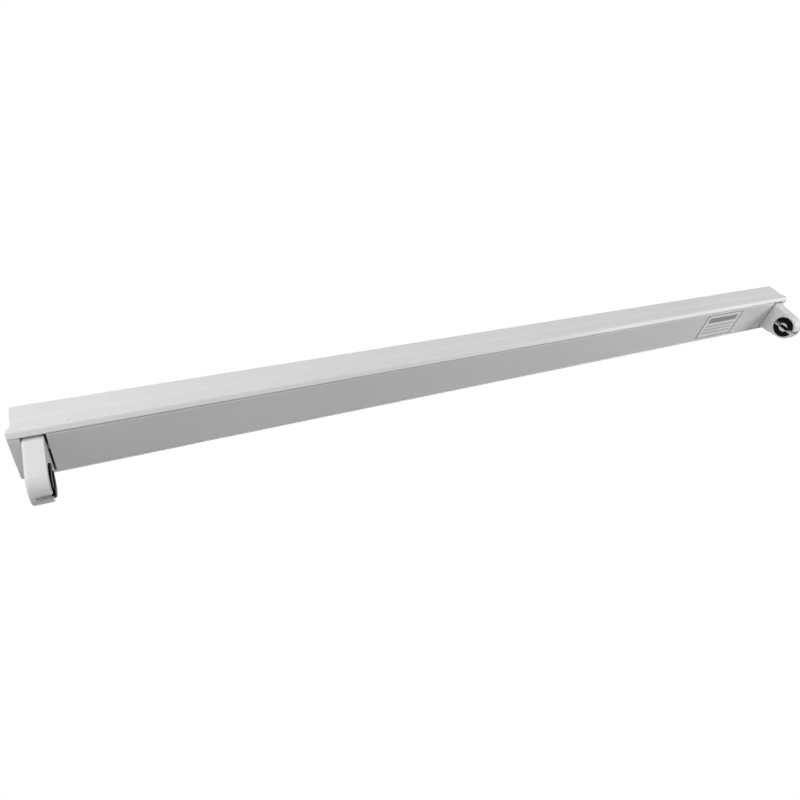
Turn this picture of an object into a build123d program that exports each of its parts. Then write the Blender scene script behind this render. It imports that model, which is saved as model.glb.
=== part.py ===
from build123d import *
import os

os.makedirs("parts", exist_ok=True)

# Slim open batten for one 600 mm tube lamp, in millimetres.
# The origin is the middle of the ceiling face, +X runs along the lamp, +Z points at the ceiling.

# Overall body
END_MARGIN = 5.5
BODY_HALF = 17.5
BODY_SHEET = 0.6
WALL_END_RELIEF = 2.1
TOP_CORNER_R = 0.5
CREASE_Z = -9.2
CREASE_DROP = 2.4
CREASE_IN = 0.3
CREASE_R = 3.0
WALL_SPLIT_Z = -14.2
LIP_SET_IN = 0.1
LIP_TOP_Z = -18.5
LIP_TOP_R = 0.8
LIP_CORNER_Z = -20.72
LIP_RETURN_Z = -19.1
LIP_END_RISE = 3.4
LIP_IN = 3.5
LIP_R = 0.45
LIP_COVER_GAP = 0.3
DIMPLE_INSET = 11.2
DIMPLE_Z = -15.8
DIMPLE_R = 1.5

# Cover
COVER_SHEET = 0.5
COVER_Z = -20.6
COVER_CORNER_R = 0.3
FLANGE_TOP_Z = -9.0
COVER_END_GAP = 1.2
LABEL_INSET = 43.8
LABEL_LENGTH = 47.7
LABEL_HALF = 12.9
LABEL_T = 0.1
LABEL_CORNER_R = 1.0

# Lamp and lampholders
LAMP_LENGTH = 589.8
LAMP_END_PLAY = 0.3
LAMP_DROP = 18.4
HOLDER_DEPTH = 10.0
HOLDER_FOOT_HALF = 12.7
HOLDER_TIP_R = 10.6
HOLDER_EDGE_R = 0.6
HOLDER_REAR_R = 1.4
HOLDER_END_GAP = 0.3
WEB_LIP_GAP = 0.4
SLOT_WIDTH = 3.6
ROTOR_R = 8.7
ROTOR_CLEAR = 0.3
ROTOR_PROUD = 0.9
ROTOR_DEPTH = 7.0
ROTOR_DISC = 0.9
RING_DEPTH = 1.8
CORE_R = 4.2
CORE_RECESS = 1.2
PIN_SLOT = 2.8
RING_NOTCH = 4.4
SPIGOT_R = 3.0
SPIGOT_CLEAR = 0.06
BACK_THICK = 0.9
BACK_BORDER = 1.6
FOOT_TOP_Z = -9.0
FOOT_HALF = 11.2
FOOT_FRONT_INSET = 1.0
FOOT_REAR_INSET = 1.0
SHOULDER_RISE = 0.8
CONTACT_Y = 9.3
CONTACT_SHEET = 0.4
CONTACT_WIDTH = 3.2
HOLDER_SCREW_Z = -14.0

# Fasteners and wires
BRACKET_SHEET = 1.0
BRACKET_HALF = 7.0
BRACKET_FOOT = 12.0
SCREW_R = 1.45
SCREW_CLEAR = 0.06
HEAD_R = 2.7
HEAD_T = 1.8
BOSS_R = 2.6
BOSS_Z = -2.6
WIRE_R = 0.8
WIRE_CLEAR = 0.06
WIRE_RUN_Z = -3.4
WIRE_BEND = 4.5
SUPPLY_BEND = 6.0
LEFT_RUN_IN = 1.9
RIGHT_RUN_IN = 6.2
SADDLE_HALF = 3.0
SADDLE_IN = 2.6
SADDLE_OUT = 1.2
SADDLE_DROP = 1.5
SADDLE_INSET = 33.0
SADDLE_FROM_CABLE = 30.0
CLIP_INSET = 55.2
CLIP_WIDTH = 12.0
CLIP_SHEET = 0.5
CLIP_FIT = 0.05
CLIP_LEG_Z = -13.0
CLIP_TIP_Z = -15.0
CLIP_TIP_IN = 0.8
CLIP_BEND_R = 1.0

# Places along the body
FIXING_X = 200.0
FIXING_HOLE_R = 2.6
CABLE_X = -115.0
CABLE_HOLE_R = 7.0
CABLE_BORE_R = 4.5
EARTH_X = -25.0
EARTH_Y = 8.5
BLOCK_X = -67.0
BALLAST_X0 = 20.0
BALLAST_X1 = 170.0

# Ballast and supply block
CASE_SIDE_GAP = 1.1
CASE_HEIGHT = 12.5
CASE_WALL = 1.0
CASE_CORNER_R = 1.5
EAR_LENGTH = 8.0
EAR_HALF = 5.0
EAR_SHEET = 1.2
BOARD_DROP = 2.4
BOARD_T = 1.4
BOARD_GAP = 0.4
PEG_R = 1.2
PEG_INSET = 6.0
LEAD_PITCH = 6.0
LEAD_Z = -9.5
LEAD_OUT = 8.0
LEAD_CLEAR = 0.3
PUSH_LENGTH = 8.0
PUSH_INSET = 2.0
PUSH_HEIGHT = 6.0
PUSH_GAP = 0.6
CHOKE_X = 42.0
CHOKE_LENGTH = 22.0
CHOKE_HALF = 9.0
CHOKE_HEIGHT = 7.6
CHOKE_YOKE = 4.0
CHOKE_CORE_HALF = 3.0
CHOKE_LEG = 1.4
COIL_R = 3.6
CAN_X = 104.0
CAN_LENGTH = 22.0
CAN_R = 3.7
CAN_PAD_HALF = 2.0
FILM_X = 20.0
FILM_LENGTH = 14.0
FILM_IN = 2.0
FILM_OUT = 10.0
FILM_HEIGHT = 6.4
STRIP_X = 74.0
STRIP_LENGTH = 20.0
STRIP_HALF = 0.8
STRIP_HEIGHT = 7.0
SWITCH_LENGTH = 6.0
SWITCH_STEP = 11.0
SWITCH_INSET = 1.5
SWITCH_T = 2.6
POLE_PITCH = 8.5
POLE_Z = -8.0
TUBE_R = 2.6
TUBE_WALL = 1.1
POLE_SKIN = 0.8
BLOCK_HALF_X = 9.0
BLOCK_HEIGHT = 11.0
CLAMP_SCREW_X = 4.5

# Sizes that follow
FACE_X = LAMP_LENGTH / 2 + LAMP_END_PLAY
REAR_X = FACE_X + HOLDER_DEPTH
HALF_LENGTH = REAR_X + END_MARGIN
WALL_HALF_LENGTH = HALF_LENGTH - WALL_END_RELIEF
PLATE_Z = -BODY_SHEET
WALL_IN = BODY_HALF - BODY_SHEET
CREASE_END_Z = CREASE_Z - CREASE_DROP
LIP_HALF = BODY_HALF - LIP_SET_IN
LIP_INNER = BODY_HALF - LIP_IN
FLANGE_OUT = LIP_INNER - LIP_COVER_GAP
FLANGE_IN = FLANGE_OUT - COVER_SHEET
COVER_TOP_Z = COVER_Z + COVER_SHEET
COVER_HALF_LENGTH = FACE_X - COVER_END_GAP
DIMPLE_X = FACE_X - DIMPLE_INSET
LABEL_X1 = FACE_X - LABEL_INSET
LABEL_X0 = LABEL_X1 - LABEL_LENGTH
CLIP_X = FACE_X - CLIP_INSET
LAMP_Z = COVER_Z - LAMP_DROP
POCKET_R = ROTOR_R + ROTOR_CLEAR
ROTOR_FRONT_X = FACE_X - ROTOR_PROUD
RING_BACK_X = ROTOR_FRONT_X + RING_DEPTH
SLOT_BACK_X = ROTOR_FRONT_X + ROTOR_DEPTH
DISC_BACK_X = SLOT_BACK_X + ROTOR_DISC
POCKET_BACK_X = DISC_BACK_X + ROTOR_CLEAR
BACK_SEAT_X = REAR_X - BACK_THICK
SPIGOT_END_X = BACK_SEAT_X - 0.2
FOOT_X0 = FACE_X + FOOT_FRONT_INSET
FOOT_X1 = REAR_X - FOOT_REAR_INSET
WIRE_DROP_X = (FOOT_X0 + FOOT_X1) / 2 - 0.8
SHOULDER_Z = COVER_TOP_Z + SHOULDER_RISE
SCREW_HOLE_R = SCREW_R + SCREW_CLEAR
LEFT_RUN_Y = BODY_HALF - LEFT_RUN_IN
RIGHT_RUN_Y = BODY_HALF - RIGHT_RUN_IN
EAR_MID = EAR_LENGTH / 2
CASE_HALF = FLANGE_IN - CASE_SIDE_GAP
CASE_TOP = BOSS_Z
CASE_RIM = CASE_TOP - CASE_HEIGHT
BOARD_TOP = CASE_TOP - BOARD_DROP
BOARD_Z = BOARD_TOP - BOARD_T
PUSH_HALF = CASE_HALF - CASE_WALL - PUSH_GAP
LEFT_LEADS = [-1.5 * LEAD_PITCH, -0.5 * LEAD_PITCH, 0.5 * LEAD_PITCH, 1.5 * LEAD_PITCH]
RIGHT_LEADS = [-LEAD_OUT, LEAD_OUT]
POLES = [-POLE_PITCH, 0.0, POLE_PITCH]
BLOCK_FIXINGS = [-POLE_PITCH / 2, POLE_PITCH / 2]
BLOCK_HALF_Y = POLE_PITCH + TUBE_R + POLE_SKIN
BLOCK_Z = BOSS_Z - BLOCK_HEIGHT
BOSSES = [
    (BALLAST_X0 - EAR_MID, 0.0),
    (BALLAST_X1 + EAR_MID, 0.0),
    (BLOCK_X, BLOCK_FIXINGS[0]),
    (BLOCK_X, BLOCK_FIXINGS[1]),
    (EARTH_X, EARTH_Y),
]


def block(x0, x1, y0, y1, z0, z1, mode=Mode.ADD):
    """A box between two corners of the open part."""
    with Locations(((x0 + x1) / 2, (y0 + y1) / 2, (z0 + z1) / 2)):
        Box(abs(x1 - x0), abs(y1 - y0), abs(z1 - z0), mode=mode)


def rod_x(x0, x1, y, z, r, mode=Mode.ADD):
    """A round bar along X."""
    with Locations(((x0 + x1) / 2, y, z)):
        Cylinder(r, abs(x1 - x0), rotation=(0, 90, 0), mode=mode)


def rod_z(x, y, z0, z1, r, mode=Mode.ADD):
    """A round bar along Z."""
    with Locations((x, y, (z0 + z1) / 2)):
        Cylinder(r, abs(z1 - z0), mode=mode)


def end_plane(side, x):
    """The plane across one end, sketched as (y, z), extruding outward."""
    return Plane(origin=(side * x, 0, 0), x_dir=(0, side, 0), z_dir=(side, 0, 0))


def finish(piece, name):
    """Labels a finished piece and writes it."""
    piece.part.label = name
    export_step(piece.part, f"parts/{name}.step")


# Back channel: flat ceiling plate and two walls, each with a shallow crease and a lip folded in
with BuildPart() as base_channel:
    wall_mid = BODY_HALF - BODY_SHEET / 2
    plate_mid = -BODY_SHEET / 2
    crease_mid = wall_mid - CREASE_IN
    lip_mid = LIP_HALF - BODY_SHEET / 2
    return_mid = LIP_INNER + BODY_SHEET / 2
    lean = (lip_mid - crease_mid) / (CREASE_END_Z - LIP_TOP_Z)
    split_mid = crease_mid + lean * (CREASE_END_Z - WALL_SPLIT_Z)
    with BuildSketch(Plane.YZ):
        with BuildLine():
            FilletPolyline(
                (-split_mid, WALL_SPLIT_Z),
                (-crease_mid, CREASE_END_Z),
                (-wall_mid, CREASE_Z),
                (-wall_mid, plate_mid),
                (wall_mid, plate_mid),
                (wall_mid, CREASE_Z),
                (crease_mid, CREASE_END_Z),
                (split_mid, WALL_SPLIT_Z),
                radius=(CREASE_R, CREASE_R, TOP_CORNER_R, TOP_CORNER_R, CREASE_R, CREASE_R),
            )
        trace(line_width=BODY_SHEET)
    extrude(amount=WALL_HALF_LENGTH, both=True)
    for side in (-1, 1):
        with BuildSketch(Plane.YZ):
            with BuildLine():
                FilletPolyline(
                    (side * split_mid, WALL_SPLIT_Z),
                    (side * lip_mid, LIP_TOP_Z),
                    (side * return_mid, LIP_CORNER_Z),
                    (side * return_mid, LIP_RETURN_Z),
                    radius=(LIP_TOP_R, LIP_R),
                )
            trace(line_width=BODY_SHEET)
        extrude(amount=HALF_LENGTH, both=True)
    low_z = WALL_SPLIT_Z - LIP_END_RISE * (WALL_END_RELIEF + 1) / WALL_END_RELIEF
    for end in (-1, 1):
        with BuildSketch(Plane.XZ):
            with BuildLine():
                Polyline(
                    (end * WALL_HALF_LENGTH, WALL_SPLIT_Z),
                    (end * WALL_HALF_LENGTH, WALL_SPLIT_Z + 0.5),
                    (end * (HALF_LENGTH + 1), WALL_SPLIT_Z + 0.5),
                    (end * (HALF_LENGTH + 1), low_z),
                    close=True,
                )
            make_face()
        extrude(amount=BODY_HALF + 1, both=True, mode=Mode.SUBTRACT)
    for x in (-FIXING_X, FIXING_X):
        rod_z(x, 0, 1, PLATE_Z - 1, FIXING_HOLE_R, mode=Mode.SUBTRACT)
    rod_z(CABLE_X, 0, 1, PLATE_Z - 1, CABLE_HOLE_R, mode=Mode.SUBTRACT)
    for x, y in BOSSES:
        rod_z(x, y, PLATE_Z, BOSS_Z, BOSS_R)
        rod_z(x, y, PLATE_Z + 0.3, BOSS_Z, SCREW_HOLE_R, mode=Mode.SUBTRACT)
    dimple_y = crease_mid + lean * (CREASE_END_Z - DIMPLE_Z) + BODY_SHEET / 2
    for x in (-DIMPLE_X, DIMPLE_X):
        for side in (-1, 1):
            with Locations((x, side * dimple_y, DIMPLE_Z)):
                Cone(DIMPLE_R, DIMPLE_R / 2, 0.7, rotation=(-90 * side, 0, 0))
finish(base_channel, "base_channel")

# Cover: shallow tray between the lampholders, its flanges slide up inside the lips
with BuildPart() as cover:
    flange_mid = FLANGE_OUT - COVER_SHEET / 2
    floor_mid = COVER_Z + COVER_SHEET / 2
    with BuildSketch(Plane.YZ):
        with BuildLine():
            FilletPolyline(
                (-flange_mid, FLANGE_TOP_Z),
                (-flange_mid, floor_mid),
                (flange_mid, floor_mid),
                (flange_mid, FLANGE_TOP_Z),
                radius=COVER_CORNER_R,
            )
        trace(line_width=COVER_SHEET)
    extrude(amount=COVER_HALF_LENGTH, both=True)
finish(cover, "cover")

# Blank paper rating label on the cover
with BuildPart() as rating_label:
    block(LABEL_X0, LABEL_X1, -LABEL_HALF, LABEL_HALF, COVER_Z - LABEL_T, COVER_Z)
    fillet(rating_label.edges().filter_by(Axis.Z), LABEL_CORNER_R)
finish(rating_label, "rating_label")

# Spring clips that grip the cover flanges against the walls
with BuildPart() as cover_clips:
    leg_mid = FLANGE_IN - CLIP_FIT - CLIP_SHEET / 2
    bridge_z = PLATE_Z - CLIP_SHEET / 2
    for x in (-CLIP_X, CLIP_X):
        with BuildSketch(Plane.YZ.offset(x)):
            with BuildLine():
                FilletPolyline(
                    (-leg_mid + CLIP_TIP_IN, CLIP_TIP_Z),
                    (-leg_mid, CLIP_LEG_Z),
                    (-leg_mid, bridge_z),
                    (leg_mid, bridge_z),
                    (leg_mid, CLIP_LEG_Z),
                    (leg_mid - CLIP_TIP_IN, CLIP_TIP_Z),
                    radius=CLIP_BEND_R,
                )
            trace(line_width=CLIP_SHEET)
        extrude(amount=CLIP_WIDTH / 2, both=True)
finish(cover_clips, "cover_clips")

for side, hand in ((-1, "left"), (1, "right")):
    # Folded end plate: a web behind the lampholder, a bottom strip to the end, a welded top flange
    with BuildPart() as end_plate:
        web_x = REAR_X + HOLDER_END_GAP
        wide = WALL_IN - CREASE_IN - 0.1
        narrow = LIP_INNER - 0.1
        shoulder = wide - 0.9
        web_low = LIP_RETURN_Z + WEB_LIP_GAP / 2
        corner = TOP_CORNER_R + 0.3
        with BuildSketch(end_plane(side, web_x)):
            with BuildLine():
                Polyline(
                    (-wide + corner, PLATE_Z),
                    (-wide, PLATE_Z - corner),
                    (-wide, LIP_TOP_Z + WEB_LIP_GAP),
                    (-shoulder, web_low),
                    (-narrow, web_low),
                    (-narrow, COVER_Z),
                    (narrow, COVER_Z),
                    (narrow, web_low),
                    (shoulder, web_low),
                    (wide, LIP_TOP_Z + WEB_LIP_GAP),
                    (wide, PLATE_Z - corner),
                    (wide - corner, PLATE_Z),
                    close=True,
                )
            make_face()
        extrude(amount=BODY_SHEET)
        block(side * web_x, side * HALF_LENGTH, -narrow, narrow, COVER_Z, COVER_Z + BODY_SHEET)
        block(side * web_x, side * WALL_HALF_LENGTH, -9, 9, PLATE_Z, PLATE_Z - BODY_SHEET)
    finish(end_plate, f"end_plate_{hand}")

    # Angle bracket that carries the lampholder
    with BuildPart() as holder_bracket:
        block(side * FACE_X, side * FOOT_X0, -BRACKET_HALF, BRACKET_HALF, PLATE_Z, SHOULDER_Z + 1.2)
        block(
            side * (FACE_X - BRACKET_FOOT),
            side * FOOT_X0,
            -BRACKET_HALF,
            BRACKET_HALF,
            PLATE_Z,
            PLATE_Z - BRACKET_SHEET,
        )
        rod_x(
            side * (FACE_X - 1), side * (FOOT_X0 + 1), 0, HOLDER_SCREW_Z, SCREW_HOLE_R, mode=Mode.SUBTRACT
        )
    finish(holder_bracket, f"holder_bracket_{hand}")

    # Lampholder moulding: wide at the cover, round at the tip, with a pin entry slot
    with BuildPart() as holder_body:
        with BuildSketch(end_plane(side, FACE_X)):
            with Locations((0, LAMP_Z)):
                Circle(HOLDER_TIP_R)
            with Locations((0, (COVER_Z - 1.0 + SHOULDER_Z) / 2)):
                Rectangle(2 * HOLDER_FOOT_HALF, SHOULDER_Z - COVER_Z + 1.0)
            make_hull()
        extrude(amount=HOLDER_DEPTH)
        rims = holder_body.faces().filter_by(Axis.X).sort_by(Axis.X)
        near, rear = (rims[-1], rims[0]) if side < 0 else (rims[0], rims[-1])
        fillet(near.edges().sort_by(Axis.Z)[:-1], HOLDER_EDGE_R)
        fillet(rear.edges().sort_by(Axis.Z)[:-1], HOLDER_REAR_R)
        block(side * FOOT_X0, side * FOOT_X1, -FOOT_HALF, FOOT_HALF, FOOT_TOP_Z, SHOULDER_Z - 0.5)
        rod_x(side * FACE_X, side * POCKET_BACK_X, 0, LAMP_Z, POCKET_R, mode=Mode.SUBTRACT)
        rod_x(
            side * POCKET_BACK_X,
            side * REAR_X,
            0,
            LAMP_Z,
            SPIGOT_R + SPIGOT_CLEAR,
            mode=Mode.SUBTRACT,
        )
        block(
            side * (FACE_X - 1),
            side * POCKET_BACK_X,
            -SLOT_WIDTH / 2,
            SLOT_WIDTH / 2,
            LAMP_Z,
            LAMP_Z - HOLDER_TIP_R - 1,
            mode=Mode.SUBTRACT,
        )
        with BuildSketch(end_plane(side, BACK_SEAT_X)):
            with Locations((0, LAMP_Z)):
                Circle(HOLDER_TIP_R - BACK_BORDER)
            with Locations((0, COVER_Z - 2.5)):
                Rectangle(2 * (HOLDER_FOOT_HALF - BACK_BORDER), 1.0)
            make_hull()
        extrude(amount=BACK_THICK + 1, mode=Mode.SUBTRACT)
        rod_x(side * (FOOT_X0 - 1), side * (FOOT_X1 - 1), 0, HOLDER_SCREW_Z, SCREW_HOLE_R, mode=Mode.SUBTRACT)
        for across in (-1, 1):
            block(
                side * (WIRE_DROP_X - CONTACT_WIDTH / 2 - 0.3),
                side * (WIRE_DROP_X + CONTACT_WIDTH / 2 + 0.3),
                across * (CONTACT_Y - 0.6),
                across * (CONTACT_Y + 0.5),
                FOOT_TOP_Z,
                LAMP_Z - 2.5,
                mode=Mode.SUBTRACT,
            )
            rod_z(
                side * WIRE_DROP_X,
                across * CONTACT_Y,
                FOOT_TOP_Z + 1,
                FOOT_TOP_Z - 4,
                WIRE_R + WIRE_CLEAR,
                mode=Mode.SUBTRACT,
            )
    finish(holder_body, f"holder_body_{hand}")

    # Snap-in plate that closes the lampholder from outside
    with BuildPart() as holder_back:
        with BuildSketch(end_plane(side, BACK_SEAT_X)):
            with Locations((0, LAMP_Z)):
                Circle(HOLDER_TIP_R - BACK_BORDER - 0.1)
            with Locations((0, COVER_Z - 2.5)):
                Rectangle(2 * (HOLDER_FOOT_HALF - BACK_BORDER - 0.1), 0.8)
            make_hull()
        extrude(amount=BACK_THICK)
    finish(holder_back, f"holder_back_{hand}")

    # White turning core with its disc and bearing spigot, slotted for the lamp pins
    with BuildPart() as rotor_core:
        rod_x(side * RING_BACK_X, side * DISC_BACK_X, 0, LAMP_Z, ROTOR_R)
        rod_x(side * (ROTOR_FRONT_X + CORE_RECESS), side * RING_BACK_X, 0, LAMP_Z, CORE_R)
        rod_x(side * DISC_BACK_X, side * SPIGOT_END_X, 0, LAMP_Z, SPIGOT_R)
        block(
            side * (ROTOR_FRONT_X - 1),
            side * SLOT_BACK_X,
            -PIN_SLOT / 2,
            PIN_SLOT / 2,
            LAMP_Z - ROTOR_R - 1,
            LAMP_Z + ROTOR_R + 1,
            mode=Mode.SUBTRACT,
        )
    finish(rotor_core, f"rotor_core_{hand}")

    # Black ring in two halves, either side of the pin slot
    with BuildPart() as rotor_ring:
        rod_x(side * ROTOR_FRONT_X, side * RING_BACK_X, 0, LAMP_Z, ROTOR_R)
        front = rotor_ring.faces().filter_by(Axis.X).sort_by(Axis.X)
        fillet((front[-1] if side < 0 else front[0]).edges(), 0.4)
        rod_x(
            side * (ROTOR_FRONT_X - 1), side * (RING_BACK_X + 1), 0, LAMP_Z, CORE_R + 0.05, mode=Mode.SUBTRACT
        )
        block(
            side * (ROTOR_FRONT_X - 1),
            side * (RING_BACK_X + 1),
            -RING_NOTCH / 2,
            RING_NOTCH / 2,
            LAMP_Z - ROTOR_R - 1,
            LAMP_Z + ROTOR_R + 1,
            mode=Mode.SUBTRACT,
        )
    finish(rotor_ring, f"rotor_ring_{hand}")

    # Two spring contacts beside the rotor, reaching up to the wires in the foot
    with BuildPart() as contacts:
        for across in (-1, 1):
            block(
                side * (WIRE_DROP_X - CONTACT_WIDTH / 2),
                side * (WIRE_DROP_X + CONTACT_WIDTH / 2),
                across * (CONTACT_Y - CONTACT_SHEET / 2),
                across * (CONTACT_Y + CONTACT_SHEET / 2),
                FOOT_TOP_Z - 4,
                LAMP_Z - 2.3,
            )
    finish(contacts, f"contacts_{hand}")

    # The pair of lamp wires from the ballast to this lampholder
    with BuildPart() as lamp_wires:
        run_y = LEFT_RUN_Y if side < 0 else RIGHT_RUN_Y
        for across in (-1, 1):
            if side < 0:
                leave_y = LEFT_LEADS[0] if across < 0 else LEFT_LEADS[3]
                path = [
                    (BALLAST_X0 + PUSH_LENGTH / 2, leave_y, LEAD_Z),
                    (BALLAST_X0 - 15, leave_y, LEAD_Z),
                    (BALLAST_X0 - 34, across * run_y, WIRE_RUN_Z),
                ]
            else:
                leave_y = RIGHT_LEADS[0] if across < 0 else RIGHT_LEADS[1]
                path = [
                    (BALLAST_X1 - PUSH_LENGTH / 2, leave_y, LEAD_Z),
                    (BALLAST_X1 + 13, leave_y, LEAD_Z),
                    (BALLAST_X1 + 29, across * run_y, WIRE_RUN_Z),
                ]
            path += [
                (side * (FACE_X - 17), across * run_y, WIRE_RUN_Z),
                (side * (FACE_X - 4), across * CONTACT_Y, WIRE_RUN_Z),
                (side * WIRE_DROP_X, across * CONTACT_Y, WIRE_RUN_Z),
                (side * WIRE_DROP_X, across * CONTACT_Y, FOOT_TOP_Z - 4),
            ]
            with BuildLine() as route:
                FilletPolyline(*path, radius=WIRE_BEND)
            with BuildSketch(Plane(origin=path[0], z_dir=(side, 0, 0))):
                Circle(WIRE_R)
            sweep(path=route.line)
    finish(lamp_wires, f"lamp_wires_{hand}")

# Screws that hold the lampholders to their brackets
with BuildPart() as holder_screws:
    for side in (-1, 1):
        rod_x(side * (FACE_X - HEAD_T), side * FACE_X, 0, HOLDER_SCREW_Z, HEAD_R)
        rod_x(side * FACE_X, side * (FOOT_X1 - 2), 0, HOLDER_SCREW_Z, SCREW_R)
        block(
            side * (FACE_X - HEAD_T),
            side * (FACE_X - HEAD_T + 0.8),
            -0.4,
            0.4,
            HOLDER_SCREW_Z - 2,
            HOLDER_SCREW_Z + 2,
            mode=Mode.SUBTRACT,
        )
finish(holder_screws, "holder_screws")

# Ballast: case with ears and board pegs
with BuildPart() as ballast_case:
    block(BALLAST_X0, BALLAST_X1, -CASE_HALF, CASE_HALF, CASE_TOP, CASE_RIM)
    fillet(ballast_case.edges().filter_by(Axis.Z), CASE_CORNER_R)
    block(
        BALLAST_X0 + CASE_WALL,
        BALLAST_X1 - CASE_WALL,
        -CASE_HALF + CASE_WALL,
        CASE_HALF - CASE_WALL,
        CASE_TOP - CASE_WALL,
        CASE_RIM - 1,
        mode=Mode.SUBTRACT,
    )
    peg_y = CASE_HALF - CASE_WALL - PEG_R - 1.0
    for x in (BALLAST_X0 + PEG_INSET, BALLAST_X1 - PEG_INSET):
        for y in (-peg_y, peg_y):
            rod_z(x, y, CASE_TOP - CASE_WALL, BOARD_TOP, PEG_R)
    for x0, x1 in ((BALLAST_X0 - EAR_LENGTH, BALLAST_X0), (BALLAST_X1, BALLAST_X1 + EAR_LENGTH)):
        block(x0, x1, -EAR_HALF, EAR_HALF, CASE_TOP, CASE_TOP - EAR_SHEET)
    for x in (BALLAST_X0 - EAR_MID, BALLAST_X1 + EAR_MID):
        rod_z(x, 0, CASE_TOP + 1, CASE_TOP - EAR_SHEET - 1, SCREW_HOLE_R + 0.1, mode=Mode.SUBTRACT)
    for y in LEFT_LEADS:
        rod_x(BALLAST_X0 - 1, BALLAST_X0 + CASE_WALL + 1, y, LEAD_Z, WIRE_R + LEAD_CLEAR, mode=Mode.SUBTRACT)
    for y in RIGHT_LEADS:
        rod_x(BALLAST_X1 - CASE_WALL - 1, BALLAST_X1 + 1, y, LEAD_Z, WIRE_R + LEAD_CLEAR, mode=Mode.SUBTRACT)
finish(ballast_case, "ballast_case")

with BuildPart() as ballast_lid:
    block(BALLAST_X0, BALLAST_X1, -CASE_HALF, CASE_HALF, CASE_RIM, CASE_RIM - CASE_WALL)
    fillet(ballast_lid.edges().filter_by(Axis.Z), CASE_CORNER_R)
    fillet(ballast_lid.faces().sort_by(Axis.Z)[0].edges(), 0.4)
finish(ballast_lid, "ballast_lid")

with BuildPart() as ballast_board:
    board_half = CASE_HALF - CASE_WALL - BOARD_GAP
    board_in = CASE_WALL + BOARD_GAP
    block(BALLAST_X0 + board_in, BALLAST_X1 - board_in, -board_half, board_half, BOARD_TOP, BOARD_Z)
finish(ballast_board, "ballast_board")

# Ferrite choke: core with a winding window on both sides and the wound coil between
with BuildPart() as ballast_choke:
    x0 = BALLAST_X0 + CHOKE_X
    x1 = x0 + CHOKE_LENGTH
    low = BOARD_Z - CHOKE_HEIGHT
    block(x0, x1, -CHOKE_HALF, CHOKE_HALF, BOARD_Z, low)
    for across in (-1, 1):
        block(
            x0 + CHOKE_YOKE,
            x1 - CHOKE_YOKE,
            across * CHOKE_CORE_HALF,
            across * (CHOKE_HALF + 0.5),
            BOARD_Z - CHOKE_LEG,
            low + CHOKE_LEG,
            mode=Mode.SUBTRACT,
        )
    rod_x(x0 + CHOKE_YOKE, x1 - CHOKE_YOKE, 0, BOARD_Z - CHOKE_HEIGHT / 2, COIL_R)
finish(ballast_choke, "ballast_choke")

# Electrolytic can lying on the board, and two film capacitors
with BuildPart() as ballast_capacitors:
    x0 = BALLAST_X0 + CAN_X
    rod_x(x0, x0 + CAN_LENGTH, 0, BOARD_Z - CAN_R, CAN_R)
    block(x0 + 2, x0 + CAN_LENGTH - 2, -CAN_PAD_HALF, CAN_PAD_HALF, BOARD_Z, BOARD_Z - CAN_R)
    x0 = BALLAST_X0 + FILM_X
    for across in (-1, 1):
        block(x0, x0 + FILM_LENGTH, across * FILM_IN, across * FILM_OUT, BOARD_Z, BOARD_Z - FILM_HEIGHT)
finish(ballast_capacitors, "ballast_capacitors")

# Switching transistors on a common strip
with BuildPart() as ballast_transistors:
    x0 = BALLAST_X0 + STRIP_X
    block(x0, x0 + STRIP_LENGTH, -STRIP_HALF, STRIP_HALF, BOARD_Z, BOARD_Z - STRIP_HEIGHT)
    for step in (0, 1):
        x = x0 + SWITCH_INSET + step * SWITCH_STEP
        block(
            x,
            x + SWITCH_LENGTH,
            STRIP_HALF,
            STRIP_HALF + SWITCH_T,
            BOARD_Z - 1.0,
            BOARD_Z - STRIP_HEIGHT + 0.4,
        )
finish(ballast_transistors, "ballast_transistors")

# Push-in wire terminals at both ends of the ballast board
with BuildPart() as ballast_terminals:
    for x0, way, leads in ((BALLAST_X0, 1, LEFT_LEADS), (BALLAST_X1, -1, RIGHT_LEADS)):
        near = x0 + way * PUSH_INSET
        far = near + way * PUSH_LENGTH
        block(near, far, -PUSH_HALF, PUSH_HALF, BOARD_Z, BOARD_Z - PUSH_HEIGHT)
        for y in leads:
            rod_x(
                x0 + way * (PUSH_INSET - 1),
                x0 + way * (PUSH_INSET + PUSH_LENGTH / 2),
                y,
                LEAD_Z,
                WIRE_R + WIRE_CLEAR,
                mode=Mode.SUBTRACT,
            )
finish(ballast_terminals, "ballast_terminals")

with BuildPart() as ballast_screws:
    head_top = CASE_TOP - EAR_SHEET
    for x in (BALLAST_X0 - EAR_MID, BALLAST_X1 + EAR_MID):
        rod_z(x, 0, head_top, head_top - HEAD_T, HEAD_R)
        rod_z(x, 0, PLATE_Z - 0.2, head_top, SCREW_R)
        block(x - 2, x + 2, -0.4, 0.4, head_top - HEAD_T, head_top - HEAD_T + 0.8, mode=Mode.SUBTRACT)
finish(ballast_screws, "ballast_screws")

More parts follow.
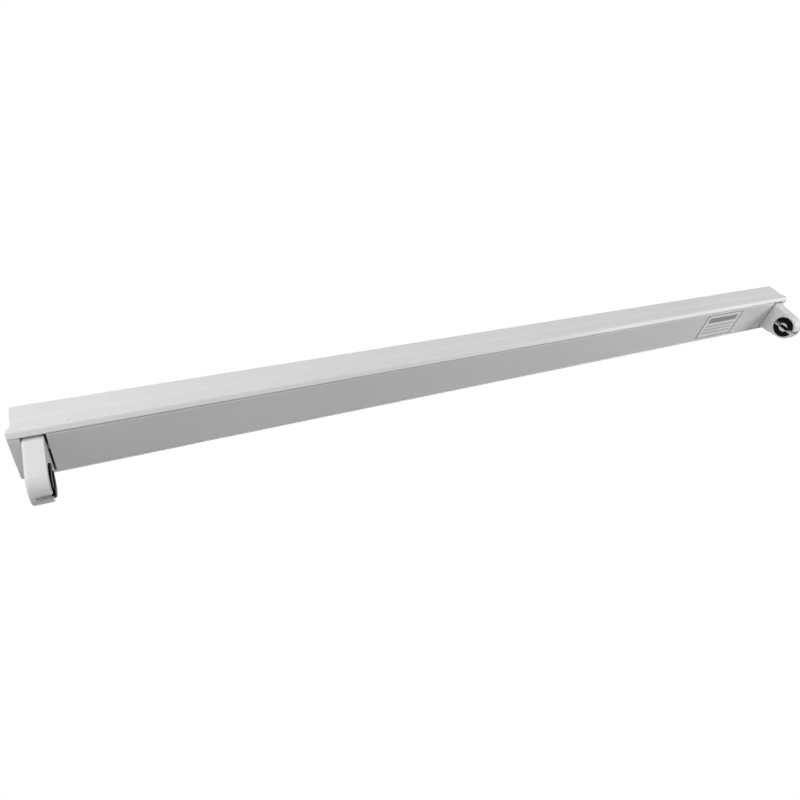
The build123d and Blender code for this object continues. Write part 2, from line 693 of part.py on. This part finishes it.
# Supply terminal block: three poles side by side, screws reached from below
with BuildPart() as terminal_block:
    block(
        BLOCK_X - BLOCK_HALF_X, BLOCK_X + BLOCK_HALF_X, -BLOCK_HALF_Y, BLOCK_HALF_Y, BOSS_Z, BLOCK_Z
    )
    for y in BLOCK_FIXINGS:
        block(
            BLOCK_X - BLOCK_HALF_X - 1,
            BLOCK_X + BLOCK_HALF_X + 1,
            y - 0.6,
            y + 0.6,
            BLOCK_Z - 1,
            BLOCK_Z + 1.5,
            mode=Mode.SUBTRACT,
        )
    for y in POLES:
        rod_x(
            BLOCK_X - BLOCK_HALF_X - 1,
            BLOCK_X + BLOCK_HALF_X + 1,
            y,
            POLE_Z,
            TUBE_R + 0.05,
            mode=Mode.SUBTRACT,
        )
        for x in (BLOCK_X - CLAMP_SCREW_X, BLOCK_X + CLAMP_SCREW_X):
            rod_z(x, y, POLE_Z, BLOCK_Z - 1, 1.7, mode=Mode.SUBTRACT)
    for y in BLOCK_FIXINGS:
        rod_z(BLOCK_X, y, BOSS_Z + 1, BLOCK_Z - 1, SCREW_HOLE_R, mode=Mode.SUBTRACT)
        rod_z(BLOCK_X, y, BLOCK_Z + 2.4, BLOCK_Z - 1, HEAD_R + 0.15, mode=Mode.SUBTRACT)
finish(terminal_block, "terminal_block")

# Brass clamp tubes inside the terminal block
with BuildPart() as terminal_clamps:
    for y in POLES:
        rod_x(BLOCK_X - BLOCK_HALF_X + 0.8, BLOCK_X + BLOCK_HALF_X - 0.8, y, POLE_Z, TUBE_R)
        rod_x(
            BLOCK_X - BLOCK_HALF_X,
            BLOCK_X + BLOCK_HALF_X,
            y,
            POLE_Z,
            TUBE_R - TUBE_WALL,
            mode=Mode.SUBTRACT,
        )
        for x in (BLOCK_X - CLAMP_SCREW_X, BLOCK_X + CLAMP_SCREW_X):
            rod_z(x, y, POLE_Z, POLE_Z - TUBE_R - 1, 1.25, mode=Mode.SUBTRACT)
finish(terminal_clamps, "terminal_clamps")

with BuildPart() as terminal_screws:
    for y in POLES:
        for x in (BLOCK_X - CLAMP_SCREW_X, BLOCK_X + CLAMP_SCREW_X):
            rod_z(x, y, POLE_Z - WIRE_R - 0.05, BLOCK_Z + 2.6, 1.2)
            rod_z(x, y, BLOCK_Z + 2.8, BLOCK_Z + 0.8, 1.6)
            block(x - 1.2, x + 1.2, y - 0.25, y + 0.25, BLOCK_Z + 0.8, BLOCK_Z + 1.5, mode=Mode.SUBTRACT)
finish(terminal_screws, "terminal_screws")

with BuildPart() as terminal_fixings:
    for y in BLOCK_FIXINGS:
        rod_z(BLOCK_X, y, BLOCK_Z + 2.4, BLOCK_Z + 0.7, HEAD_R)
        rod_z(BLOCK_X, y, PLATE_Z - 0.2, BLOCK_Z + 2.4, SCREW_R)
        block(BLOCK_X - 2, BLOCK_X + 2, y - 0.4, y + 0.4, BLOCK_Z + 0.7, BLOCK_Z + 1.4, mode=Mode.SUBTRACT)
finish(terminal_fixings, "terminal_fixings")

# Rubber bush in the cable entry, flush with the ceiling face
with BuildPart() as cable_grommet:
    rod_z(CABLE_X, 0, 0, PLATE_Z, CABLE_HOLE_R - 0.05)
    rod_z(CABLE_X, 0, PLATE_Z, PLATE_Z - 1.8, CABLE_HOLE_R + 2.5)
    rod_z(CABLE_X, 0, PLATE_Z - 1.8, -5.0, CABLE_HOLE_R - 0.8)
    fillet(cable_grommet.edges().filter_by(GeomType.CIRCLE).group_by(Axis.Z)[0], 0.6)
    rod_z(CABLE_X, 0, 1, -6, CABLE_BORE_R, mode=Mode.SUBTRACT)
finish(cable_grommet, "cable_grommet")

# Earth point: ring tag, toothed washer and screw on a pressed boss
TAG_Z = BOSS_Z - 0.8
with BuildPart() as earth_tag:
    rod_z(EARTH_X, EARTH_Y, BOSS_Z, TAG_Z, 3.6)
    block(EARTH_X - 8, EARTH_X, EARTH_Y - 1.5, EARTH_Y + 1.5, BOSS_Z, TAG_Z)
    rod_x(EARTH_X - 12, EARTH_X - 6, EARTH_Y, TAG_Z - 0.6, 1.5)
    rod_x(EARTH_X - 13, EARTH_X - 8, EARTH_Y, TAG_Z - 0.6, WIRE_R + WIRE_CLEAR, mode=Mode.SUBTRACT)
    rod_z(EARTH_X, EARTH_Y, BOSS_Z + 1, TAG_Z - 1, SCREW_HOLE_R + 0.1, mode=Mode.SUBTRACT)
finish(earth_tag, "earth_tag")

with BuildPart() as earth_washer:
    rod_z(EARTH_X, EARTH_Y, TAG_Z, TAG_Z - 0.6, 3.2)
    with Locations((EARTH_X, EARTH_Y, TAG_Z - 0.3)):
        with PolarLocations(3.2, 10):
            Box(0.9, 0.8, 0.6, mode=Mode.SUBTRACT)
    rod_z(EARTH_X, EARTH_Y, TAG_Z + 1, TAG_Z - 1.6, SCREW_HOLE_R + 0.1, mode=Mode.SUBTRACT)
finish(earth_washer, "earth_washer")

with BuildPart() as earth_screw:
    head_top = TAG_Z - 0.6
    rod_z(EARTH_X, EARTH_Y, head_top, head_top - HEAD_T, HEAD_R)
    rod_z(EARTH_X, EARTH_Y, PLATE_Z - 0.2, head_top, SCREW_R)
    block(
        EARTH_X - 2,
        EARTH_X + 2,
        EARTH_Y - 0.4,
        EARTH_Y + 0.4,
        head_top - HEAD_T,
        head_top - HEAD_T + 0.8,
        mode=Mode.SUBTRACT,
    )
finish(earth_screw, "earth_screw")

# Wires from the supply block to the ballast and to the earth point
WIRE_ROUTES = {
    "wire_live": [
        (BLOCK_X + 2, POLES[0], POLE_Z),
        (BLOCK_X + 27, POLES[0], POLE_Z),
        (BALLAST_X0 - 25, LEFT_LEADS[1], LEAD_Z),
        (BALLAST_X0 + PUSH_LENGTH / 2, LEFT_LEADS[1], LEAD_Z),
    ],
    "wire_neutral": [
        (BLOCK_X + 2, POLES[1], POLE_Z),
        (BLOCK_X + 27, POLES[1], POLE_Z),
        (BALLAST_X0 - 25, LEFT_LEADS[2], LEAD_Z),
        (BALLAST_X0 + PUSH_LENGTH / 2, LEFT_LEADS[2], LEAD_Z),
    ],
    "wire_earth": [
        (BLOCK_X + 2, POLES[2], POLE_Z),
        (BLOCK_X + 15, POLES[2], POLE_Z),
        (EARTH_X - 17, EARTH_Y, TAG_Z - 0.6),
        (EARTH_X - 9, EARTH_Y, TAG_Z - 0.6),
    ],
}
for name, points in WIRE_ROUTES.items():
    with BuildPart() as wire:
        with BuildLine() as route:
            FilletPolyline(*points, radius=SUPPLY_BEND)
        with BuildSketch(Plane(origin=points[0], z_dir=(1, 0, 0))):
            Circle(WIRE_R)
        sweep(path=route.line)
    finish(wire, name)

# Saddles that hold the lamp wires up against the ceiling plate
with BuildPart() as wire_clips:
    saddle_x = FACE_X - SADDLE_INSET
    for x, run_y in (
        (CABLE_X - SADDLE_FROM_CABLE, LEFT_RUN_Y),
        (-saddle_x, LEFT_RUN_Y),
        (saddle_x, RIGHT_RUN_Y),
    ):
        for across in (-1, 1):
            outer = min(run_y + SADDLE_OUT, WALL_IN - TOP_CORNER_R - 0.8)
            block(
                x - SADDLE_HALF,
                x + SADDLE_HALF,
                across * (run_y - SADDLE_IN),
                across * outer,
                PLATE_Z,
                WIRE_RUN_Z - SADDLE_DROP,
            )
            rod_x(
                x - SADDLE_HALF - 1,
                x + SADDLE_HALF + 1,
                across * run_y,
                WIRE_RUN_Z,
                WIRE_R + WIRE_CLEAR,
                mode=Mode.SUBTRACT,
            )
finish(wire_clips, "wire_clips")
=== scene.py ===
import bpy
from mathutils import Matrix, Vector


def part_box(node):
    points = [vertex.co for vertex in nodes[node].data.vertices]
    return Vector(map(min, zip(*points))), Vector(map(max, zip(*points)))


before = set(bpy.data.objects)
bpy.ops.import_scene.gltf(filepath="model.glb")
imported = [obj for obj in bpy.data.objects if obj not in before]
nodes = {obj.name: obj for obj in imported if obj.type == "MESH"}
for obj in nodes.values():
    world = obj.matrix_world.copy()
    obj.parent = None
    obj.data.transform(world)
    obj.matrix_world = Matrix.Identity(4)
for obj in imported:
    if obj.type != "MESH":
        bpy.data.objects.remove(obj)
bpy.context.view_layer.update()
scene = bpy.context.scene

# Noise and grain that the materials share

COARSE_DETAIL = 4.0
FINE_DETAIL = 2.0
FIBRE_DETAIL = 6.0
TONE_EDGES = (0.35, 0.65)
STRIPE_EDGES = (0.48, 0.54)
NOISE_LOW, NOISE_HIGH = 0.3, 0.7
ROUGH_PER_MOTTLE = 2.3
GRAIN_STRENGTH = 0.5

# Roughness that several finishes share

COAT_ROUGH = (0.36, 0.46)
MOULDED_ROUGH = (0.38, 0.50)
WIRE_ROUGH = (0.34, 0.46)
PAPER_ROUGH = (0.55, 0.70)

# Colour sockets of a mix node: the two that go in and the one that comes out

COLOUR_A, COLOUR_B, COLOUR_OUT = 6, 7, 2

# Pin slot in the centre of a rotor, in metres, and the painted shade inside it: a dark tone standing
# in for the shade in the slot's depth

SLOT_HALF_WIDTH = 0.00145
SLOT_MIDDLE_Z = -0.039
SLOT_HALF_LENGTH = 0.0043
# Painted shade: the dark tone inside the pin slot
SLOT_SHADE_TONE = 0.03

# Print on the sticker, in metres: the frame from the edge, band and rows from the middle

PRINT_INSET = 0.0004
FRAME_WIDTH_X, FRAME_WIDTH_Y = 0.0018, 0.0009
BAND_Y, BAND_HALF = -0.0062, 0.0026
ROWS_Y, ROW_HALF = (0.0002, 0.0038, 0.0074), 0.0004
ROW_INSET = 0.005
INK_TONE = 0.34

# Floor, in metres, with the share of glow that keeps it pale to the eye

FLOOR_HALF = 6
FLOOR_Z = -1.1
GLOW_TONE = 0.95
GLOW_SHARE = 0.6

# World strength as light on the part, and as the white background

AMBIENT = 0.1
BACKGROUND = 1.0

# Softboxes: place, aim and size in metres, power in watts

SOFTBOXES = {
    "key": ((-0.9, -0.9, 0.15), (-0.2, 0, -0.02), 0.8, 10.3),
    "low_fill": ((0.0, -1.0, -0.6), (0, 0, -0.02), 0.6, 1.5),
    "far_fill": ((0.75, -0.35, -0.45), (0.3, 0, -0.02), 0.35, 2.9),
    "end_fill": ((-1.3, -0.2, -0.5), (-0.3, 0, -0.03), 0.6, 1.1),
    "rear_fill": ((0.2, 0.8, 0.35), (0, 0, -0.02), 0.7, 3.0),
    "top_fill": ((0.0, 0.35, 0.8), (0, 0, 0), 0.7, 3.2),
}

# Camera fitted to the photograph: place in metres, directions, focal length in its pixels

CAMERA_AT = (-0.2617, -0.25662, -0.26556)
CAMERA_RIGHT = (0.8859, -0.1759, -0.4291)
CAMERA_AHEAD = (0.4272, 0.6698, 0.6074)
FOCAL_PIXELS = 597.27
PHOTO_PIXELS = 800
SENSOR_MM = 36.0
CLIP_NEAR, CLIP_FAR = 0.01, 50.0


# Node building blocks


def put(tree, socket, value):
    """Links a socket to another one, or sets its value."""
    if isinstance(value, bpy.types.NodeSocket):
        tree.links.new(value, socket)
    else:
        socket.default_value = value


def fill(tree, node, **settings):
    """Sets a node's inputs and properties by name, with _ for a space."""
    for key, value in settings.items():
        socket = key.replace("_", " ")
        if socket in node.inputs:
            put(tree, node.inputs[socket], value)
        else:
            setattr(node, key, value)


def add(tree, kind, **settings):
    """A new node with its settings."""
    node = tree.nodes.new(kind)
    fill(tree, node, **settings)
    return node


def maths(tree, operation, *values):
    """The result of one operation on sockets or numbers."""
    node = add(tree, "ShaderNodeMath", operation=operation)
    for socket, value in zip(node.inputs, values):
        put(tree, socket, value)
    return node.outputs[0]


def within(tree, value, middle, half):
    """One where a value lies no further than half from the middle."""
    return maths(tree, "COMPARE", value, middle, half)


def blend(tree, share, first, second):
    """The first colour, going over to the second by a share."""
    mix = add(tree, "ShaderNodeMix", data_type="RGBA", Factor=share)
    put(tree, mix.inputs[COLOUR_A], first)
    put(tree, mix.inputs[COLOUR_B], second)
    return mix.outputs[COLOUR_OUT]


def rgb(r, g, b):
    return (r, g, b, 1.0)


def grey(v):
    return rgb(v, v, v)


def coords(tree, stretch=None):
    """Object coordinates in metres, stretched along an axis for grain."""
    place = add(tree, "ShaderNodeTexCoord").outputs["Object"]
    if stretch is None:
        return place
    return add(tree, "ShaderNodeMapping", Vector=place, Scale=stretch).outputs["Vector"]


def split(tree, place):
    """The X, Y and Z of a place."""
    return add(tree, "ShaderNodeSeparateXYZ", Vector=place).outputs


def noise(tree, where, scale, detail=FINE_DETAIL):
    """A noise value between nought and one."""
    return add(tree, "ShaderNodeTexNoise", Vector=where, Scale=scale, Detail=detail).outputs["Fac"]


def ramp(tree, value, low, high, edges=TONE_EDGES):
    """Two colours across a value, changing between two edges."""
    node = add(tree, "ShaderNodeValToRGB", Fac=value)
    for stop, edge, colour in zip(node.color_ramp.elements, edges, (low, high)):
        stop.position = edge
        stop.color = colour
    return node.outputs["Color"]


def span(tree, value, low, high):
    """A noise value spread over a range."""
    node = add(tree, "ShaderNodeMapRange", Value=value, To_Min=low, To_Max=high)
    fill(tree, node, From_Min=NOISE_LOW, From_Max=NOISE_HIGH)
    return node.outputs["Result"]


def seen_or_mirrored(tree):
    """One where a ray comes from the camera, a mirror or through glass."""
    rays = add(tree, "ShaderNodeLightPath").outputs
    value = rays["Is Camera Ray"]
    for kind in ("Is Glossy Ray", "Is Transmission Ray"):
        value = maths(tree, "MAXIMUM", value, rays[kind])
    return value


def start(name):
    """A new node material, its tree and its shader."""
    material = bpy.data.materials.new(name)
    material.use_nodes = True
    tree = material.node_tree
    return material, tree, tree.nodes["Principled BSDF"]


def surface(
    name, low, high, rough, metal=0.0, mottle=60.0, grain=900.0, depth=0.00004, stretch=None, gloss=0.5
):
    """Colour that drifts between two tones, roughness that drifts too, and a fine grain."""
    material, tree, shader = start(name)
    where = coords(tree, stretch)
    relief = noise(tree, where, grain)
    bump = add(tree, "ShaderNodeBump", Height=relief, Strength=GRAIN_STRENGTH, Distance=depth)
    fill(
        tree,
        shader,
        Base_Color=ramp(tree, noise(tree, where, mottle, COARSE_DETAIL), low, high),
        Roughness=span(tree, noise(tree, where, mottle * ROUGH_PER_MOTTLE), *rough),
        Metallic=metal,
        Specular_IOR_Level=gloss,
        Normal=bump.outputs["Normal"],
    )
    return material


# White finishes and black moulding

plate_white = surface(
    "white_plate_coat", grey(0.86), grey(0.88), COAT_ROUGH, mottle=20.0, grain=1300.0, depth=0.00003
)
paint = surface(
    "white_powder_coat", grey(0.775), grey(0.80), COAT_ROUGH, mottle=14.0, grain=1300.0, depth=0.00003
)
moulding_tones = rgb(0.73, 0.73, 0.725), rgb(0.76, 0.76, 0.755)
moulding_mottle = 90.0
moulding = surface(
    "white_moulding",
    *moulding_tones,
    MOULDED_ROUGH,
    mottle=moulding_mottle,
    grain=2600.0,
    depth=0.00002,
)
black = surface(
    "black_moulding",
    grey(0.004),
    grey(0.008),
    (0.45, 0.60),
    mottle=160.0,
    grain=2400.0,
    depth=0.00003,
    gloss=0.04,
)

# Metals

zinc = surface(
    "zinc_plate",
    rgb(0.50, 0.51, 0.53),
    rgb(0.62, 0.63, 0.64),
    (0.28, 0.42),
    metal=1.0,
    mottle=240.0,
    grain=1800.0,
    depth=0.00002,
)
spring = surface(
    "spring_steel",
    rgb(0.42, 0.43, 0.45),
    rgb(0.54, 0.55, 0.57),
    (0.22, 0.36),
    metal=1.0,
    mottle=120.0,
    stretch=(1, 14, 1),
)
bronze = surface(
    "spring_bronze",
    rgb(0.62, 0.41, 0.20),
    rgb(0.72, 0.50, 0.27),
    (0.25, 0.38),
    metal=1.0,
    mottle=200.0,
    stretch=(1, 1, 10),
)
brass = surface(
    "turned_brass", rgb(0.68, 0.50, 0.22), rgb(0.78, 0.60, 0.30), (0.22, 0.36), metal=1.0, mottle=260.0
)
alloy = surface(
    "heat_strip",
    rgb(0.56, 0.57, 0.58),
    rgb(0.66, 0.67, 0.68),
    (0.30, 0.45),
    metal=1.0,
    stretch=(1, 1, 12),
)

# Ballast, bush and terminals

rubber = surface(
    "bush_rubber", grey(0.018), grey(0.032), (0.62, 0.78), mottle=120.0, grain=1500.0, depth=0.00006
)
case_grey = surface(
    "ballast_moulding",
    rgb(0.52, 0.53, 0.54),
    rgb(0.58, 0.59, 0.60),
    (0.45, 0.58),
    mottle=70.0,
    grain=1900.0,
    depth=0.00005,
)
board = surface(
    "circuit_board", rgb(0.03, 0.13, 0.06), rgb(0.05, 0.19, 0.09), (0.30, 0.45), mottle=320.0
)
ferrite = surface(
    "ferrite", grey(0.02), grey(0.045), (0.45, 0.65), mottle=420.0, grain=1400.0, depth=0.00008
)
sleeve = surface(
    "capacitor_sleeve", rgb(0.02, 0.03, 0.09), rgb(0.03, 0.045, 0.13), (0.25, 0.38), mottle=120.0
)
orange = surface(
    "terminal_orange", rgb(0.55, 0.16, 0.03), rgb(0.65, 0.20, 0.04), MOULDED_ROUGH, mottle=140.0
)

# Wires

brown = surface(
    "wire_brown", rgb(0.07, 0.025, 0.012), rgb(0.10, 0.04, 0.018), WIRE_ROUGH, mottle=180.0
)
blue = surface("wire_blue", rgb(0.01, 0.05, 0.24), rgb(0.02, 0.07, 0.30), WIRE_ROUGH, mottle=180.0)
white_wire = surface("wire_white", grey(0.70), grey(0.76), WIRE_ROUGH, mottle=180.0)


def earth_wire():
    """Green insulation with a yellow stripe along it."""
    material, tree, shader = start("wire_green_yellow")
    where = coords(tree)
    wave = add(
        tree, "ShaderNodeTexWave", bands_direction="Y", Vector=where, Scale=190.0, Distortion=0.4
    )
    green, yellow = rgb(0.03, 0.22, 0.04), rgb(0.72, 0.55, 0.03)
    fill(
        tree,
        shader,
        Base_Color=ramp(tree, wave.outputs["Fac"], green, yellow, STRIPE_EDGES),
        Roughness=span(tree, noise(tree, where, 300.0), *WIRE_ROUGH),
    )
    return material


def slot_shaded_core():
    """White moulding, with painted shade inside the pin slot of the centre: a dark tone for the shade
    in the slot's depth.
    """
    material, tree, shader = start("white_moulding_core")
    place = coords(tree)
    axes = split(tree, place)
    # Mask of the pin slot, where painted shade goes
    painted_slot_shade = maths(
        tree,
        "MULTIPLY",
        within(tree, axes["Y"], 0.0, SLOT_HALF_WIDTH),
        within(tree, axes["Z"], SLOT_MIDDLE_Z, SLOT_HALF_LENGTH),
    )
    white = ramp(tree, noise(tree, place, moulding_mottle, COARSE_DETAIL), *moulding_tones)
    fill(
        tree,
        shader,
        # Painted shade: the slot is coloured dark where the depth would shade it
        Base_Color=blend(tree, painted_slot_shade, white, grey(SLOT_SHADE_TONE)),
        Roughness=span(tree, noise(tree, place, 200.0), *MOULDED_ROUGH),
    )
    return material


def sticker():
    """Blank paper with a printed frame, a plain band and empty ruled rows."""
    material, tree, shader = start("sticker_paper")
    place = coords(tree)
    axes = split(tree, place)
    lo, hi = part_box("rating_label")
    cx, cy = (lo[0] + hi[0]) / 2, (lo[1] + hi[1]) / 2
    hx, hy = (hi[0] - lo[0]) / 2 - PRINT_INSET, (hi[1] - lo[1]) / 2 - PRINT_INSET

    def across(half):
        return within(tree, axes["X"], cx, half)

    def along(off, half):
        return within(tree, axes["Y"], cy + off, half)

    outer = maths(tree, "MULTIPLY", across(hx), along(0, hy))
    inner = maths(tree, "MULTIPLY", across(hx - FRAME_WIDTH_X), along(0, hy - FRAME_WIDTH_Y))
    rows = along(BAND_Y, BAND_HALF)
    for y in ROWS_Y:
        rows = maths(tree, "MAXIMUM", rows, along(y, ROW_HALF))
    rows = maths(tree, "MULTIPLY", rows, across(hx - ROW_INSET))
    printed = maths(tree, "MAXIMUM", maths(tree, "SUBTRACT", outer, inner), rows)
    paper = ramp(tree, noise(tree, place, 700.0, FIBRE_DETAIL), grey(0.86), grey(0.90))
    fill(
        tree,
        shader,
        Base_Color=blend(tree, printed, paper, grey(INK_TONE)),
        Roughness=span(tree, noise(tree, place, 500.0), *PAPER_ROUGH),
    )
    return material


def pair(name):
    """The nodes of a piece that is at both ends."""
    return [name + "_left", name + "_right"]


finishes = {
    paint: ["base_channel", "cover"],
    plate_white: pair("end_plate"),
    moulding: pair("holder_body") + pair("holder_back") + ["terminal_block", "wire_clips"],
    # Rotor cores: white moulding with painted shade in the pin slot
    slot_shaded_core(): pair("rotor_core"),
    black: pair("rotor_ring"),
    zinc: pair("holder_bracket")
    + ["holder_screws", "ballast_screws", "terminal_screws", "terminal_fixings", "earth_washer"],
    spring: ["cover_clips"],
    bronze: pair("contacts"),
    brass: ["terminal_clamps", "earth_tag", "earth_screw"],
    rubber: ["cable_grommet"],
    case_grey: ["ballast_case", "ballast_lid"],
    board: ["ballast_board"],
    ferrite: ["ballast_choke"],
    sleeve: ["ballast_capacitors"],
    alloy: ["ballast_transistors"],
    orange: ["ballast_terminals"],
    brown: ["wire_live"],
    blue: ["wire_neutral"],
    earth_wire(): ["wire_earth"],
    white_wire: pair("lamp_wires"),
    sticker(): ["rating_label"],
}
for material, names in finishes.items():
    for name in names:
        slots = nodes[name].data.materials
        slots.clear()
        slots.append(material)

# Stage: a pale floor well below the fixture

corners = [(x * FLOOR_HALF, y * FLOOR_HALF, FLOOR_Z) for x, y in ((-1, -1), (1, -1), (1, 1), (-1, 1))]
floor_mesh = bpy.data.meshes.new("floor")
floor_mesh.from_pydata(corners, [], [(0, 1, 2, 3)])
floor = bpy.data.objects.new("floor", floor_mesh)
scene.collection.objects.link(floor)
floor_pale = surface(
    "floor_pale", grey(0.80), grey(0.82), (0.75, 0.85), mottle=3.0, grain=60.0, depth=0.0002
)
floor_mesh.materials.append(floor_pale)

floor_tree = floor_pale.node_tree
glow = add(floor_tree, "ShaderNodeEmission", Color=grey(GLOW_TONE))
glow_share = maths(floor_tree, "MULTIPLY", seen_or_mirrored(floor_tree), GLOW_SHARE)
floor_mix = add(floor_tree, "ShaderNodeMixShader", Fac=glow_share)
put(floor_tree, floor_mix.inputs[1], floor_tree.nodes["Principled BSDF"].outputs[0])
put(floor_tree, floor_mix.inputs[2], glow.outputs[0])
fill(floor_tree, floor_tree.nodes["Material Output"], Surface=floor_mix.outputs[0])

# Soft studio light

world = bpy.data.worlds.new("studio")
scene.world = world
world.use_nodes = True
sky = world.node_tree
level = add(
    sky, "ShaderNodeMapRange", Value=seen_or_mirrored(sky), To_Min=AMBIENT, To_Max=BACKGROUND
)
fill(sky, sky.nodes["Background"], Strength=level.outputs["Result"], Color=grey(1.0))


def softbox(name, at, towards, size, power):
    """A square area light at a place, facing a point."""
    data = bpy.data.lights.new(name, "AREA")
    data.shape = "SQUARE"
    data.size = size
    data.energy = power
    lamp = bpy.data.objects.new(name, data)
    lamp.location = at
    lamp.rotation_mode = "QUATERNION"
    lamp.rotation_quaternion = (Vector(towards) - Vector(at)).to_track_quat("-Z", "Y")
    scene.collection.objects.link(lamp)


for name, setting in SOFTBOXES.items():
    softbox(name, *setting)

# Camera at the photograph's place, looking up along the fixture

cam_data = bpy.data.cameras.new("camera")
cam = bpy.data.objects.new("camera", cam_data)
scene.collection.objects.link(cam)
right = Vector(CAMERA_RIGHT).normalized()
ahead = Vector(CAMERA_AHEAD).normalized()
up = right.cross(ahead).normalized()
right = ahead.cross(up).normalized()
turn = Matrix((right, up, -ahead)).transposed().to_4x4()
cam.matrix_world = Matrix.Translation(CAMERA_AT) @ turn
cam_data.sensor_fit = "HORIZONTAL"
cam_data.sensor_width = SENSOR_MM
cam_data.lens = SENSOR_MM * FOCAL_PIXELS / PHOTO_PIXELS
cam_data.clip_start = CLIP_NEAR
cam_data.clip_end = CLIP_FAR
scene.camera = cam

scene.view_settings.view_transform = "Standard"
